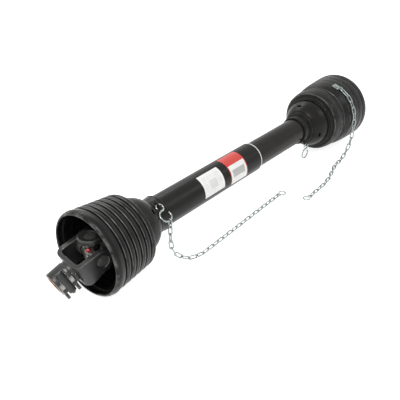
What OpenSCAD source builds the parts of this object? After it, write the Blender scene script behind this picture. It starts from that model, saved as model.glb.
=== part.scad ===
// Power take-off drive shaft with a plastic guard over a telescoping tube,
// a universal joint and a quick-fit yoke at each end. Millimetres, Z up.
// +X runs from the near end to the far end. Z = 0 is the floor under the cones.
// At each end the local frame has its origin in the joint's cross, and local
// +X points along the shaft to the middle of it.

/* [Whole shaft] */
// distance between the two crosses, as the shaft lies
cross_gap = 883; // [760:1:1030]
// swing of the near cross in the tube yoke, degrees
near_swing = 8; // [-30:1:30]
// droop of the near yoke about the cross, degrees
near_droop = 22; // [-30:1:30]
// running clearance, on the radius
fit = 0.05; // [0.02:0.01:0.1]

/* [Quick-fit yoke] */
// from the cross's centre to the free end of the hub
yoke_len = 91; // [80:1:110]
// hub diameter
hub_d = 50; // [46:0.5:60]
// hub length
hub_len = 35; // [28:1:45]
// small diameter of the six-spline bore
spline_minor = 29.8; // [28:0.1:32]
// large diameter of the six-spline bore
spline_major = 34.9; // [34:0.1:37]
// width of one spline slot
spline_w = 8.6; // [7:0.1:10]
// width of the fork at its root
fork_w = 54; // [46:1:60]
// thickness of the fork's arms
arm_t = 11; // [8:0.5:14]
// radius of the round ends of the arms
ear_r = 23; // [19:0.5:27]
// from the cross to the inside of the quick-fit yoke's fork
fork_depth = 41; // [36:0.5:50]

/* [Cross] */
// diameter of the bearing cups
cup_d = 27; // [22:0.1:35]
// length over two opposite bearing cups
cup_span = 74.6; // [60:0.1:100]
// depth of a cup
cup_len = 17; // [12:0.5:22]
// diameter of the cross's pins
trunnion_d = 16; // [12:0.1:22]
// diameter of the cross's thick arms
cross_arm_d = 22; // [18:0.5:28]
// thickness of the cups' snap rings
clip_t = 1.4; // [1:0.1:2]

/* [Push pin] */
// diameter of the pin
pin_d = 10; // [8:0.1:14]
// distance of the pin's axis from the bore's axis
pin_off = 20; // [18:0.1:24]
// from the pin's inner end to the shoulder under the button
pin_len = 29.5; // [24:0.5:36]
// how far the pin can be pushed in
pin_travel = 7; // [5:0.5:10]
// diameter of the button
button_d = 7.6; // [6:0.1:9]
// turns of the spring
spring_turns = 5; // [4:1:9]
// thickness of the spring's wire
spring_wire = 1.2; // [0.8:0.1:1.6]

/* [Tube yoke] */
// from the cross to the inside of the tube yoke's fork
root_depth = 43; // [38:0.5:50]
// diameter of the tube yoke's hub
root_d = 70; // [66:0.5:76]
// length of the tube yoke from the cross to the end of its hub
root_len = 102; // [96:1:120]
// where the profile tube's end sits, from the cross
socket_x = 62; // [56:1:70]
// diameter of the groove that the guard's bearing ring runs in
groove_d = 65; // [62:0.5:68]
// width of that groove
groove_w = 7; // [5:0.5:10]
// where the groove starts, from the cross
groove_x = 88; // [84:0.5:92]
// diameter of the roll pin through yoke and tube
roll_d = 10; // [8:0.5:12]
// where the roll pin is, from the cross
roll_x = 74; // [70:0.5:80]

/* [Profile tubes] */
// radius of the outer profile tube's round part
body_r = 24.5; // [20:0.1:28]
// radius of its two side lobes
lobe_r = 9; // [6:0.1:12]
// distance of a lobe's centre from the axis
lobe_off = 20; // [16:0.1:24]
// wall of both profile tubes
profile_wall = 3.5; // [2.5:0.1:5]
// length of the outer profile tube
outer_profile_len = 420; // [300:1:460]
// length of the inner profile tube
inner_profile_len = 520; // [400:1:560]

/* [Guard tubes] */
// outside diameter of the larger guard tube
outer_guard_d = 72; // [68:0.5:80]
// outside diameter of the smaller guard tube
inner_guard_d = 65; // [62:0.5:68]
// wall of the guard tubes
guard_wall = 2; // [1.5:0.1:3]
// length of the larger guard tube
outer_guard_len = 352; // [300:1:420]
// length of the smaller guard tube
inner_guard_len = 430; // [360:1:480]
// width of the pale ring on the end of the larger tube
end_ring_w = 3; // [2:0.5:8]

/* [Guard base] */
// outside radius of the round dome
dome_r = 62.5; // [58:0.5:66]
// where the dome's centre is, from the cross
dome_x = 105; // [98:1:112]
// wall of the guard base
base_wall = 3; // [2.5:0.1:4]
// where the neck ends, from the cross
neck_end = 181; // [172:1:190]
// radius of the ring around the neck
neck_ring_r = 41.5; // [40:0.5:44]
// wall of the neck around the tube
neck_wall = 3.5; // [2.5:0.1:5]
// where the tube's end sits in the neck, from the cross
tube_seat = 157; // [154:1:164]
// outside diameter of the bearing ring
ring_d = 82; // [78:0.5:88]
// length of a slot in the dome
slot_len = 12; // [8:0.5:18]
// width of a slot in the dome
slot_w = 5; // [3:0.5:8]

/* [Bellows] */
// largest radius of the cones
cone_r = 91; // [84:0.5:98]
// how much smaller the last rib is
cone_taper = 12; // [6:0.5:20]
// from the cross to the mouth of the near cone, which is pushed back
near_mouth = 15; // [5:1:60]
// from the cross to the mouth of the far cone, which is drawn out
far_mouth = 53; // [5:1:60]
// number of ribs
rib_count = 6; // [4:1:9]
// width of the smooth lip
lip_w = 23; // [14:1:30]
// depth of the folds in the near cone
near_fold = 3; // [1:0.1:5]
// depth of the folds in the far cone
far_fold = 1.5; // [0.5:0.1:5]
// width of a fold
fold_w = 3; // [2:0.1:5]
// wall of the cones
cone_wall = 3; // [2:0.1:4]
// length of the collar that holds the cone on the base
collar_len = 13; // [10:0.5:18]
// thickness of that collar
collar_t = 3.5; // [2.5:0.1:5]

/* [Chains] */
// wire of the chain's links
link_wire = 2.8; // [2:0.1:4]
// inside length of a link
link_in = 18; // [14:0.5:26]
// inside width of a link
link_gap = 5.4; // [4:0.1:8]
// play between two links
link_play = 0.4; // [0.2:0.1:1]
// wire of the hooks
hook_wire = 3.5; // [2.5:0.1:4.5]
// radius of a hook's large loop, to the wire's middle
hook_big = 13; // [8:0.5:16]
// radius of a hook's small loop
hook_small = 8; // [4.5:0.1:10]
// links lying straight on the floor, near chain
near_run = 17; // [7:2:23]
// links lying straight on the floor, far chain
far_run = 8; // [6:2:20]

/* [Hidden] */
$fn = 64;

axis_h = cone_r;
hub_r = hub_d/2;
arm_in = cup_span/2 - 7.8;
arm_out = arm_in + arm_t;
clip_y = cup_span/2;
clip_r = cup_d/2 + 0.7;
// the near yoke's reach along X, and the middle of the whole
bend_cos = cos(near_droop)*cos(near_swing);
near_reach = yoke_len*bend_cos + hub_r*sqrt(1 - bend_cos*bend_cos);
near_x = -(cross_gap + yoke_len - near_reach)/2;
far_x = near_x + cross_gap;
// the push pin's bore, along the pin
pin_in = -5;
pin_bore_end = pin_in - pin_travel - spring_turns*spring_wire*0.6;
pin_step = pin_in + pin_len;
clip_gap = fit;
pin_lip = pin_step + 2.4;
neck_start = dome_x + 44;
shoulder_x = dome_x - 8;
pitch = link_in - link_play;
link_r = (link_gap + link_wire)/2;
link_half = link_in/2 - link_r + link_wire/2;
chain_z = link_r + link_wire/2;
eye_r = 45.5;
screw_x = 7.5;

function heading(yaw, rise) = [cos(rise)*cos(yaw), cos(rise)*sin(yaw), sin(rise)];
function spread(runs) = [for (r = runs) for (i = [1:r[0]]) [r[1], r[2], r[3]]];
function place(seq, i) =
  i == 0 ? [0, 0, 0] : place(seq, i - 1) + pitch*heading(seq[i-1][0], seq[i-1][1]);

module near_end() { translate([near_x, 0, axis_h]) children(); }
module far_end() { translate([far_x, 0, axis_h]) rotate([0, 0, 180]) children(); }
module near_bent() { near_end() rotate([0, -near_droop, -near_swing]) children(); }
module near_turned() { near_end() rotate([0, 0, -near_swing]) children(); }

// a ring or tube along X, from x0 to x1
module tube_x(x0, x1, r_out, r_in) {
  translate([x0, 0, 0]) rotate([0, 90, 0]) difference() {
    cylinder(r = r_out, h = x1 - x0);
    translate([0, 0, -1]) cylinder(r = r_in, h = x1 - x0 + 2);
  }
}
module rod_x(x0, x1, r) { translate([x0, 0, 0]) rotate([0, 90, 0]) cylinder(r = r, h = x1 - x0); }
module rod_y(y0, y1, r) { translate([0, y0, 0]) rotate([-90, 0, 0]) cylinder(r = r, h = y1 - y0); }
module rod_z(z0, z1, r) { translate([0, 0, z0]) cylinder(r = r, h = z1 - z0); }

// a plate's outline with rounded corners, made of two bars and four discs
module soft_square(x0, x1, half, r) {
  translate([x0 + r, -half]) square([x1 - x0 - 2*r, 2*half]);
  translate([x0, -half + r]) square([x1 - x0, 2*half - 2*r]);
  for (x = [x0 + r, x1 - r]) for (s = [-1, 1]) translate([x, s*(half - r)]) circle(r = r);
}

// the fork of a yoke: its arms stand on the Y axis and its root is at -X
module fork(depth, root_t) {
  back = depth + root_t;
  intersection() {
    translate([0, 0, -fork_w/2]) linear_extrude(height = fork_w) difference() {
      soft_square(-back, ear_r + 40, arm_out, 17);
      soft_square(-depth, ear_r + 60, arm_in, 7);
    }
    translate([0, arm_out + 1, 0]) rotate([90, 0, 0]) linear_extrude(height = 2*arm_out + 2) {
      circle(r = ear_r);
      polygon([[0, ear_r], [-depth*0.8, fork_w/2], [-back - 1, fork_w/2],
               [-back - 1, -fork_w/2], [-depth*0.8, -fork_w/2], [0, -ear_r]]);
    }
  }
}
// the bores for two cups and the grooves for their snap rings, along Y
module cup_bores() {
  rod_y(-arm_out - 1, arm_out + 1, cup_d/2);
  for (s = [-1, 1]) rod_y(s*(clip_y + clip_t/2 + clip_gap) - clip_t/2 - clip_gap,
    s*(clip_y + clip_t/2 + clip_gap) + clip_t/2 + clip_gap, clip_r + 0.05);
}
// two cups on the Y axis
module cups() {
  for (s = [-1, 1]) scale_side(s) difference() {
    rod_y(cup_span/2 - cup_len, cup_span/2, cup_d/2);
    rod_y(cup_span/2 - cup_len - 1, cup_span/2 - 2.6, trunnion_d/2 + fit);
    rod_y(cup_span/2 - cup_len - 1, cup_span/2 - cup_len + 0.8, trunnion_d/2 + 1.2);
  }
}
module scale_side(s) { if (s > 0) children(); else mirror([0, 1, 0]) children(); }
// two open snap rings that hold the cups
module clips() {
  for (s = [-1, 1]) scale_side(s) translate([0, clip_y + clip_gap, 0]) difference() {
    rod_y(0, clip_t, clip_r);
    rod_y(-1, clip_t + 1, clip_r - 2.6);
    translate([0, -1, -2.5]) cube([20, clip_t + 2, 5]);
  }
}
// the six-spline hole along X
module spline_bore(x0, x1) {
  translate([x0, 0, 0]) rotate([0, 90, 0]) linear_extrude(height = x1 - x0) {
    circle(d = spline_minor);
    intersection() {
      circle(d = spline_major);
      for (i = [0:2]) rotate([0, 0, 30 + 60*i]) square([spline_major + 2, spline_w], center = true);
    }
  }
}

// quick-fit yoke: hub at -X, fork arms on the Y axis
module quick_yoke() {
  mid = -yoke_len + hub_len/2;
  back = fork_depth + 9;
  difference() {
    union() {
      fork(fork_depth, 9);
      rod_x(-yoke_len + hub_len + 0.01, -back + 0.5, 21);
      rod_x(-back - 4.5, -back - 1.5, 23.5);
      difference() {
        union() {
          rod_x(-yoke_len + 1.2, -yoke_len + hub_len - 1, hub_r);
          translate([-yoke_len, 0, 0]) rotate([0, 90, 0]) cylinder(r1 = hub_r - 1.2, r2 = hub_r, h = 1.2);
          translate([-yoke_len + hub_len - 1, 0, 0]) rotate([0, 90, 0])
            cylinder(r1 = hub_r, r2 = hub_r - 1, h = 1.02);
        }
        // the two grooves beside the rib
        for (s = [-1, 1]) translate([mid + s*8.6, 0, 0]) rotate([-30, 0, 0]) difference() {
          translate([-0.9, -30, -1]) cube([1.8, 30, 18.5]);
          rod_x(-2, 2, hub_r - 2);
        }
      }
      translate([mid, 0, 0]) rotate([-30, 0, 0]) pin_housing();
    }
    spline_bore(-yoke_len - 1, -fork_depth + 1);
    translate([-yoke_len - 0.01, 0, 0]) rotate([0, 90, 0])
      cylinder(r1 = spline_major/2 + 1.2, r2 = spline_major/2 - 1.2, h = 2.4);
    cup_bores();
    translate([mid, 0, 0]) rotate([-30, 0, 0]) translate([0, -pin_off, 0]) {
      rod_z(-pin_lip - 2, -pin_bore_end, pin_d/2 + fit);
      rod_z(-pin_step - 1.45, -pin_step + 0.05, pin_d/2 + 0.75);
    }
  }
}
// housing of the push pin: the pin points to -Z at y = -pin_off
module pin_housing() {
  // pads on both sides of the pin
  for (s = [-1, 1]) translate([s*11 - 5, -hub_r + 0.6, -21]) cube([10, hub_r - 0.6, 21]);
  translate([-8, -hub_r + 1.4, -21]) cube([16, hub_r - 1.4, 21]);
  // lugs that guard the button
  for (s = [-1, 1]) translate([s*13 - 3, 0, 0]) rotate([0, 90, 0]) linear_extrude(height = 6) {
    translate([16, -18]) square([15, 16]);
    translate([31, -11]) circle(r = 5);
    translate([16, -16]) square([15, 10]);
  }
  translate([0, -pin_off, 0]) rod_z(-pin_lip - 0.2, -pin_bore_end + 3, 7.6);
}
module push_pin() {
  mid = -yoke_len + hub_len/2;
  translate([mid, 0, 0]) rotate([-30, 0, 0]) difference() {
    translate([0, -pin_off, 0]) {
      rod_z(-pin_step, -pin_in, pin_d/2);
      rod_z(-pin_step - 5, -pin_step + 1, button_d/2);
      translate([0, 0, -pin_step - 6.2]) cylinder(r1 = button_d/2 - 1.2, r2 = button_d/2, h = 1.25);
    }
    translate([0, 0, -pin_travel]) rod_x(-20, 20, spline_major/2 + 0.2);
  }
}
module pin_ring() {
  mid = -yoke_len + hub_len/2;
  translate([mid, 0, 0]) rotate([-30, 0, 0]) translate([0, -pin_off, -pin_step - 1.4]) difference() {
    cylinder(r = pin_d/2 + 0.7, h = 1.3);
    translate([0, 0, -1]) cylinder(r = button_d/2 + 0.15, h = 4);
    translate([-1.2, -10, -1]) cube([2.4, 10, 4]);
  }
}
// coil spring under the pin, drawn as one ring to a turn
module pin_spring() {
  mid = -yoke_len + hub_len/2;
  rise = (pin_in - pin_bore_end - spring_wire)/(spring_turns - 1);
  translate([mid, 0, 0]) rotate([-30, 0, 0]) translate([0, -pin_off, -pin_in + spring_wire/2])
    for (i = [0:spring_turns - 1]) translate([0, 0, (rise - 0.02)*i + 0.02])
      rotate_extrude() translate([pin_d/2 - spring_wire/2 - 0.2, 0]) circle(d = spring_wire);
}

// tube yoke: fork arms on the Z axis, hub at +X
module tube_yoke(inset) {
  difference() {
    union() {
      rotate([90, 0, 0]) mirror([1, 0, 0]) fork(root_depth, 10);
      rod_x(root_depth + 8, root_len - 1.5, root_d/2);
      translate([root_len - 1.5, 0, 0]) rotate([0, 90, 0])
        cylinder(r1 = root_d/2, r2 = root_d/2 - 1.5, h = 1.5);
    }
    rotate([90, 0, 0]) cup_bores();
    rod_x(root_depth - 1, socket_x + 1, 14);
    translate([socket_x, 0, 0]) rotate([0, 90, 0]) linear_extrude(height = 60) rotate(90) lemon(inset);
    translate([0, 0, 0]) difference() {
      rod_x(groove_x, groove_x + groove_w, root_d/2 + 2);
      rod_x(groove_x - 1, groove_x + groove_w + 1, groove_d/2);
    }
    translate([roll_x, 0, 0]) rod_z(-root_d, root_d, roll_d/2);
  }
}
// outline of the profile tubes: a disc with two lobes; inset makes it smaller all round
module lemon(inset) {
  circle(r = body_r - inset);
  square([2*lobe_off, 2*(lobe_r - inset)], center = true);
  for (s = [-1, 1]) translate([s*lobe_off, 0]) circle(r = lobe_r - inset);
}
module profile_tube(inset, len) {
  difference() {
    translate([socket_x, 0, 0]) rotate([0, 90, 0]) linear_extrude(height = len) rotate(90) difference() {
      lemon(inset);
      lemon(inset + profile_wall);
    }
    translate([roll_x, 0, 0]) rod_z(-root_d, root_d, roll_d/2);
  }
}
module roll_pin() {
  translate([roll_x, 0, 0]) difference() {
    rod_z(-root_d/2 + 1.5, root_d/2 - 1.5, roll_d/2);
    rod_z(-root_d, root_d, roll_d/2 - 2);
    translate([0, -0.6, -root_d]) cube([roll_d, 1.2, 2*root_d]);
  }
}

// the cross: four pins on the Y and Z axes
module cross() {
  difference() {
    union() {
      for (a = [0, 90]) rotate([a, 0, 0]) {
        rod_z(-cup_span/2 + 2.7, cup_span/2 - 2.7, trunnion_d/2);
        rod_z(-cup_span/2 + cup_len + 3, cup_span/2 - cup_len - 3, cross_arm_d/2);
      }
      sphere(r = 15.5);
    }
    // hole and flat seat of the grease nipple
    rotate([0, 45, 225]) {
      rod_z(8, 20, 2.5);
      rod_z(15.5, 32, 4.95);
    }
  }
}
module cup_seals() {
  for (a = [0, 90, 180, 270]) rotate([a, 0, 0]) translate([0, 0, cup_span/2 - cup_len - 2.05])
    rotate_extrude() translate([trunnion_d/2 + fit, 0])
      polygon([[0, 0], [3.1, 0], [3.4, 0.9], [2.6, 2], [0, 2]]);
}
module grease_nipple() {
  rotate([0, 45, 225]) {
    rod_z(9, 15.2, 2.5);
    translate([0, 0, 15.5]) cylinder(d = 8, h = 3.3, $fn = 6);
    rod_z(15, 21, 2.4);
    translate([0, 0, 22]) sphere(r = 3.1);
  }
}
module grease_cap() {
  rotate([0, 45, 225]) difference() {
    union() {
      rod_z(18.9, 24.4, 4.7);
      translate([0, 0, 24.4]) sphere(r = 4.7);
    }
    rod_z(17, 22, 3.2);
    translate([0, 0, 22]) sphere(r = 3.2);
  }
}

// hollow dome with its straight rim, turned about X
module dome_shell() {
  last = asin(44/dome_r);
  rotate([0, 90, 0]) rotate_extrude() polygon(concat(
    [[dome_r - base_wall, dome_x - 15], [dome_r, dome_x - 15]],
    [for (i = [0:9]) [dome_r*cos(last*i/9), dome_x + dome_r*sin(last*i/9)]],
    [for (i = [9:-1:0]) [(dome_r - base_wall)*cos(last*i/9), dome_x + (dome_r - base_wall)*sin(last*i/9)]]));
}
// guard base: dome, neck, seat of the bearing ring and the chain's eye
module guard_base(tube_r, eye_x, eye_turn, slot_turn) {
  neck_r = tube_r + neck_wall;
  difference() {
    union() {
      dome_shell();
      // web with the seat of the bearing ring
      tube_x(groove_x + groove_w + 0.1, groove_x + groove_w + 3.1, dome_r - 1, root_d/2 + 1);
      tube_x(groove_x - 1, groove_x + groove_w + 1, ring_d/2 + 3, ring_d/2);
      tube_x(groove_x - 2, groove_x, ring_d/2 + 3, ring_d/2 - 1);
      // neck
      rod_x(neck_start - 2, neck_end, neck_r);
      rod_x(neck_start - 2.5, neck_start - 0.3, dome_r*0.7);
      rod_x(neck_start - 0.5, neck_start + 8, neck_ring_r);
      rod_x(neck_end - 4, neck_end - 1.5, neck_r + 1.2);
      // eye for the chain's hook
      rotate([eye_turn, 0, 0]) difference() {
        translate([eye_x - 2, -eye_r - 5, -6]) cube([4, 16, 12]);
        translate([eye_x, -eye_r, 0]) rod_x(-5, 5, 3);
      }
    }
    rod_x(tube_seat, neck_end + 1, tube_r);
    rod_x(neck_start - 10, tube_seat + 1, tube_r - guard_wall);
    for (i = [0:2]) rotate([slot_turn + 120*i, 0, 0])
      translate([dome_x + 27, -dome_r - 5, -slot_len/2]) cube([slot_w, 30, slot_len]);
    for (i = [0:2]) rotate([slot_turn + 60 + 120*i, 0, 0])
      translate([shoulder_x + screw_x, 0, 0]) rod_y(-dome_r - 1, -dome_r + base_wall + 1, 2);
  }
}
// three screws through the cone's collar into the base
module guard_screws(slot_turn) {
  for (i = [0:2]) rotate([slot_turn + 60 + 120*i, 0, 0]) translate([shoulder_x + screw_x, 0, 0]) difference() {
    union() {
      rod_y(-dome_r - collar_t - 2, -dome_r - collar_t, 4);
      rod_y(-dome_r - collar_t - 0.1, -dome_r + base_wall + 2, 2);
    }
    for (a = [0, 90]) rotate([0, a, 0]) translate([-2.5, -dome_r - collar_t - 3, -0.5]) cube([5, 2, 1]);
  }
}
module bearing_ring(slot_turn) {
  difference() {
    union() {
      tube_x(groove_x + 0.1, groove_x + groove_w - 0.1, ring_d/2, groove_d/2 + fit);
      for (i = [0:2]) rotate([slot_turn + 120*i, 0, 0])
        translate([groove_x - 1.6, -ring_d/2 + 2.5, -6]) cube([1.8, 3, 12]);
    }
    for (i = [0:2]) rotate([slot_turn + 60 + 120*i, 0, 0])
      translate([groove_x - 3, -ring_d/2 + 2, -4]) cube([4, 3.5, 8]);
  }
}
// ribbed cone: mouth and length from the cross, depth of its folds, swell of its outline
module bellows(mouth, fold, swell, slot_turn) {
  len = shoulder_x + mouth;
  step = (len - lip_w)/rib_count;
  difference() {
    rotate([0, 90, 0]) translate([0, 0, -mouth]) rotate_extrude() polygon(concat(
      [[cone_r - 7, 0], [cone_r - 4.6, 0.2], [cone_r - 2.2, 2.2], [cone_r - 0.7, 6], [cone_r, 11],
       [cone_at(lip_w - 3, len, swell), lip_w - 3], [cone_at(lip_w, len, swell) - 1, lip_w - 1]],
      [for (i = [0:rib_count - 1]) for (p = [
        [-fold, 0], [-fold, fold_w - 1.2], [-1, fold_w - 0.4], [0, fold_w + 1], [0, step - 2.2],
        [-1, step - 0.8]])
        [cone_at(lip_w + i*step + p[1], len, swell) + p[0], lip_w + i*step + p[1]]],
      [[cone_at(len, len, swell) - 4, len], [dome_r + collar_t + 2, len + 2], [dome_r + collar_t, len + 3],
       [dome_r + collar_t, len + collar_len - 0.8], [dome_r + collar_t - 0.8, len + collar_len],
       [dome_r, len + collar_len], [dome_r, len - cone_wall],
       [cone_at(len, len, swell) - cone_wall - 3, len - cone_wall]],
      [for (i = [rib_count - 1:-1:0]) for (p = [
        [0, step - 1.6 - (i == rib_count - 1 ? cone_wall : 0)], [0, fold_w + 1.4],
        [-fold, fold_w - 0.2], [-fold, 0.2]])
        [cone_at(lip_w + i*step + p[1], len, swell) + p[0] - cone_wall, lip_w + i*step + p[1]]],
      [[cone_at(lip_w, len, swell) - cone_wall, lip_w - 1.4], [cone_r - cone_wall, 11], [cone_r - 7, 6]]));
    for (i = [0:2]) rotate([slot_turn + 60 + 120*i, 0, 0])
      translate([shoulder_x + screw_x, 0, 0]) rod_y(-dome_r - 9, -dome_r + 9, 2);
  }
}
function cone_at(s, len, swell) = cone_r - cone_taper*pow(s/len, swell);

// one link along X, and a chain of them from a starting place
module link() {
  for (m = [0, 1]) mirror([m, 0, 0]) translate([link_half, 0, 0]) rotate([0, 0, -90])
    rotate_extrude(angle = 180) translate([link_r, 0]) circle(d = link_wire);
  for (s = [-1, 1]) translate([0, s*link_r, 0]) rod_x(-link_half, link_half, link_wire/2);
}
module chain(start, runs) {
  seq = spread(runs);
  translate(start) for (i = [0:len(seq) - 1])
    translate(place(seq, i) + pitch/2*heading(seq[i][0], seq[i][1]))
      rotate([0, -seq[i][1], seq[i][0]]) rotate([seq[i][2] + 90*(i % 2), 0, 0]) link();
}
// open hook bent from wire: large loop at the origin, small loop above it on +Y
module s_hook(big, small, wire) {
  translate([-1, 0, 0]) rotate([0, 0, 90]) rotate_extrude(angle = 290) translate([big, 0]) circle(d = wire);
  translate([0, big, 0]) rod_x(-1, 1, wire/2);
  translate([1, big + small, 0]) rotate([0, 0, -90]) rotate_extrude(angle = 270)
    translate([small, 0]) circle(d = wire);
}

// hooks, plate and chains of the guards
near_eye = dome_x + 54;
far_eye = dome_x + 68;
near_eye_at = 60;
far_eye_at = -37;
near_hook_lean = 33;
near_hook_up = [0, cos(near_hook_lean), sin(near_hook_lean)];
near_hole = [near_x + near_eye, -eye_r*cos(near_eye_at), axis_h + eye_r*sin(near_eye_at)];
far_hole = [far_x - far_eye, -eye_r*cos(far_eye_at), axis_h + eye_r*sin(far_eye_at)];
hook_reach = hook_big + 2*hook_small;
near_start = near_hole - (hook_reach + hook_big)*near_hook_up + [0, 0, hook_wire/2];
near_fall = 3*pitch + pitch*(sin(84) + sin(64) + sin(40));
near_last = -asin((near_start[2] - chain_z - near_fall)/pitch);
near_runs = [[1, 0, -90, 0], [1, -10, -90, 0], [1, -20, -90, 0], [1, -26, -84, 0], [1, -30, -64, 0],
  [1, -33, -40, 0], [1, -35, near_last, 0], [1, -24, 0, 0], [1, -10, 0, 0], [near_run, 2.3, 0, 0]];

plate_at = 71;
plate_x = far_x - 26;
plate_w = 20;
plate_len = 20;
cone_here = cone_at(far_mouth + 26, shoulder_x + far_mouth, 2.2);
plate_r = cone_at(far_mouth + 26 - plate_w/2, shoulder_x + far_mouth, 2.2) + 0.05;
barrel_y = -plate_len/2 - 3;
barrel_z = plate_r + 4.1;
loop_wire = 3;
loop_len = 29;
wrap_r = cone_here + chain_z + 1.7;
barrel_r = norm([barrel_y, barrel_z]);
barrel_at = plate_at - atan(-barrel_y/barrel_z);
loop_turn = acos((barrel_r*barrel_r + wrap_r*wrap_r - loop_len*loop_len)/(2*barrel_r*wrap_r));
wrap_at = barrel_at - loop_turn;
wrap_step = 2*asin(pitch/2/wrap_r);
wrap_end = wrap_at - 4*wrap_step;
wrap_point = [plate_x, -wrap_r*cos(wrap_at), axis_h + wrap_r*sin(wrap_at)];
wrap_slope = wrap_step/2 - wrap_at;
first_rise = -(90 - wrap_at + wrap_step/2);
far_start = wrap_point - loop_wire/2*heading(-90, first_rise);
far_left = far_start[2] - chain_z - 2*pitch - pitch*(sin(82) + sin(62) + sin(42) + sin(20))
  + pitch*(sin(first_rise) + sin(first_rise - wrap_step) + sin(first_rise - 2*wrap_step)
  + sin(first_rise - 3*wrap_step));
far_last = -asin(far_left/pitch);
far_runs = [[1, -90, first_rise, 90], [1, -90, first_rise - wrap_step, 90],
  [1, -90, first_rise - 2*wrap_step, 90], [1, -90, first_rise - 3*wrap_step, 90],
  [2, 180, -90, 0], [1, 184, -82, 0], [1, 185, -62, 0], [1, 186, -42, 0], [1, 187, -20, 0],
  [1, 188, far_last, 0], [3, 188, 0, 0],
  [4, 198, 0, 0], [2, 190, 0, 0], [far_run - 4, 183, 0, 0]];
end_big = 8;
end_small = 5;
end_wire = 3;

// the open hook that lies at a chain's end
module end_hook(start, runs) {
  seq = spread(runs);
  yaw = runs[len(runs) - 1][1];
  at = start + place(seq, len(seq)) - end_wire/2*heading(yaw, 0);
  translate([at[0], at[1], chain_z - 0.4]) rotate([0, 0, yaw + 90])
    translate([-1, -end_big - 2*end_small, 0]) s_hook(end_big, end_small, end_wire);
}
module on_plate() { translate([plate_x, 0, axis_h]) rotate([90 - plate_at, 0, 0]) children(); }

// near guard
module near_guard_tube() {
  color("#1b1c1a") near_end() tube_x(tube_seat, tube_seat + outer_guard_len - end_ring_w,
    outer_guard_d/2, outer_guard_d/2 - guard_wall);
}
module tube_end_ring() {
  color("#d9d9d4") near_end() tube_x(tube_seat + outer_guard_len - end_ring_w, tube_seat + outer_guard_len,
    outer_guard_d/2, outer_guard_d/2 - guard_wall);
}
module near_guard_base() {
  color("#20211f") near_end() guard_base(outer_guard_d/2, near_eye, -near_eye_at, -48);
}
module near_bellows() { color("#1c1c1a") near_end() bellows(near_mouth, near_fold, 1, -48); }
module near_bearing_ring() { color("#e8e6dc") near_end() bearing_ring(-48); }
module near_guard_screws() { color("#b8babb") near_end() guard_screws(-48); }
module near_chain_hook() {
  color("#c8cbc6") translate(near_hole - hook_reach*near_hook_up) rotate([near_hook_lean, 0, 0])
    s_hook(hook_big, hook_small, hook_wire);
}
module near_chain() { color("#c8cbc6") chain(near_start, near_runs); }
module near_chain_end_hook() { color("#c8cbc6") end_hook(near_start, near_runs); }

// near shaft and joint
module outer_profile_tube() { color("#4a4b49") near_end() profile_tube(0, outer_profile_len); }
module near_tube_yoke() { color("#3d3e3c") near_end() tube_yoke(0); }
module near_roll_pin() { color("#2c2c2b") near_end() roll_pin(); }
module near_root_cups() { color("#6d6e6b") near_end() rotate([90, 0, 0]) cups(); }
module near_root_clips() { color("#242423") near_end() rotate([90, 0, 0]) clips(); }
module near_cross() { color("#6a6b68") near_turned() cross(); }
module near_cup_seals() { color("#1a1a1a") near_turned() cup_seals(); }
module near_grease_nipple() { color("#c2b26a") near_turned() grease_nipple(); }
module near_grease_cap() { color("#b3131b") near_turned() grease_cap(); }
module near_yoke() { color("#4b4d4a") near_bent() quick_yoke(); }
module near_yoke_cups() { color("#6d6e6b") near_bent() cups(); }
module near_yoke_clips() { color("#242423") near_bent() clips(); }
module near_pin_ring() { color("#8b8c89") near_bent() pin_ring(); }
module near_push_pin() { color("#1d1d1c") near_bent() push_pin(); }
module near_pin_spring() { color("#8b8c89") near_bent() pin_spring(); }

// far guard
module far_guard_tube() {
  color("#2a2926") far_end() tube_x(tube_seat, tube_seat + inner_guard_len,
    inner_guard_d/2, inner_guard_d/2 - guard_wall);
}
module far_guard_base() {
  color("#20211f") far_end() guard_base(inner_guard_d/2, far_eye, 180 + far_eye_at, 168);
}
module far_bellows() {
  color("#1c1c1a") difference() {
    far_end() bellows(far_mouth, far_fold, 2.2, 168);
    on_plate() rod_z(60, 110, 2.5);
  }
}
module far_bearing_ring() { color("#e8e6dc") far_end() bearing_ring(168); }
module far_guard_screws() { color("#b8babb") far_end() guard_screws(168); }
module far_chain_plate() {
  color("#c8cbc6") on_plate() difference() {
    union() {
      translate([-plate_w/2, -plate_len/2, plate_r]) cube([plate_w, plate_len, 2]);
      translate([0, barrel_y, barrel_z]) rod_x(-2.2, 2.2, 4.1);
      translate([-2.5, barrel_y, plate_r]) cube([5, 5, 3.4]);
    }
    translate([0, barrel_y, barrel_z]) rod_x(-5, 5, 2.7);
    rod_z(60, 110, 2.5);
  }
}
module far_plate_rivet() {
  color("#9a9c98") on_plate() {
    rod_z(cone_here - cone_wall - 2, plate_r + 3, 2.5);
    rod_z(plate_r + 2, plate_r + 3.6, 4.5);
    rod_z(cone_here - cone_wall - 2.6, cone_here - cone_wall - 1, 4.5);
  }
}
module far_chain_loop() {
  mid_at = barrel_at - loop_turn/2;
  half = loop_len/2 - 4.6;
  color("#c8cbc6") translate([plate_x, 0, axis_h]) rotate([90 - mid_at, 0, 0])
    translate([0, 0, (barrel_r + wrap_r)/2*cos(loop_turn/2)]) rotate([loop_lean, 0, 0]) rotate([0, 0, 90]) {
      for (m = [0, 1]) mirror([m, 0, 0]) translate([half, 0, 0]) rotate([0, 0, -90])
        rotate_extrude(angle = 180) translate([4.6, 0]) circle(d = loop_wire);
      for (s = [-1, 1]) translate([0, s*4.6, 0]) rod_x(-half, half, loop_wire/2);
    }
}
loop_lean = asin((barrel_r - wrap_r)*cos(loop_turn/2)/loop_len);
module far_chain() { color("#c8cbc6") chain(far_start, far_runs); }
module far_chain_end_hook() { color("#c8cbc6") end_hook(far_start, far_runs); }
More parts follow.
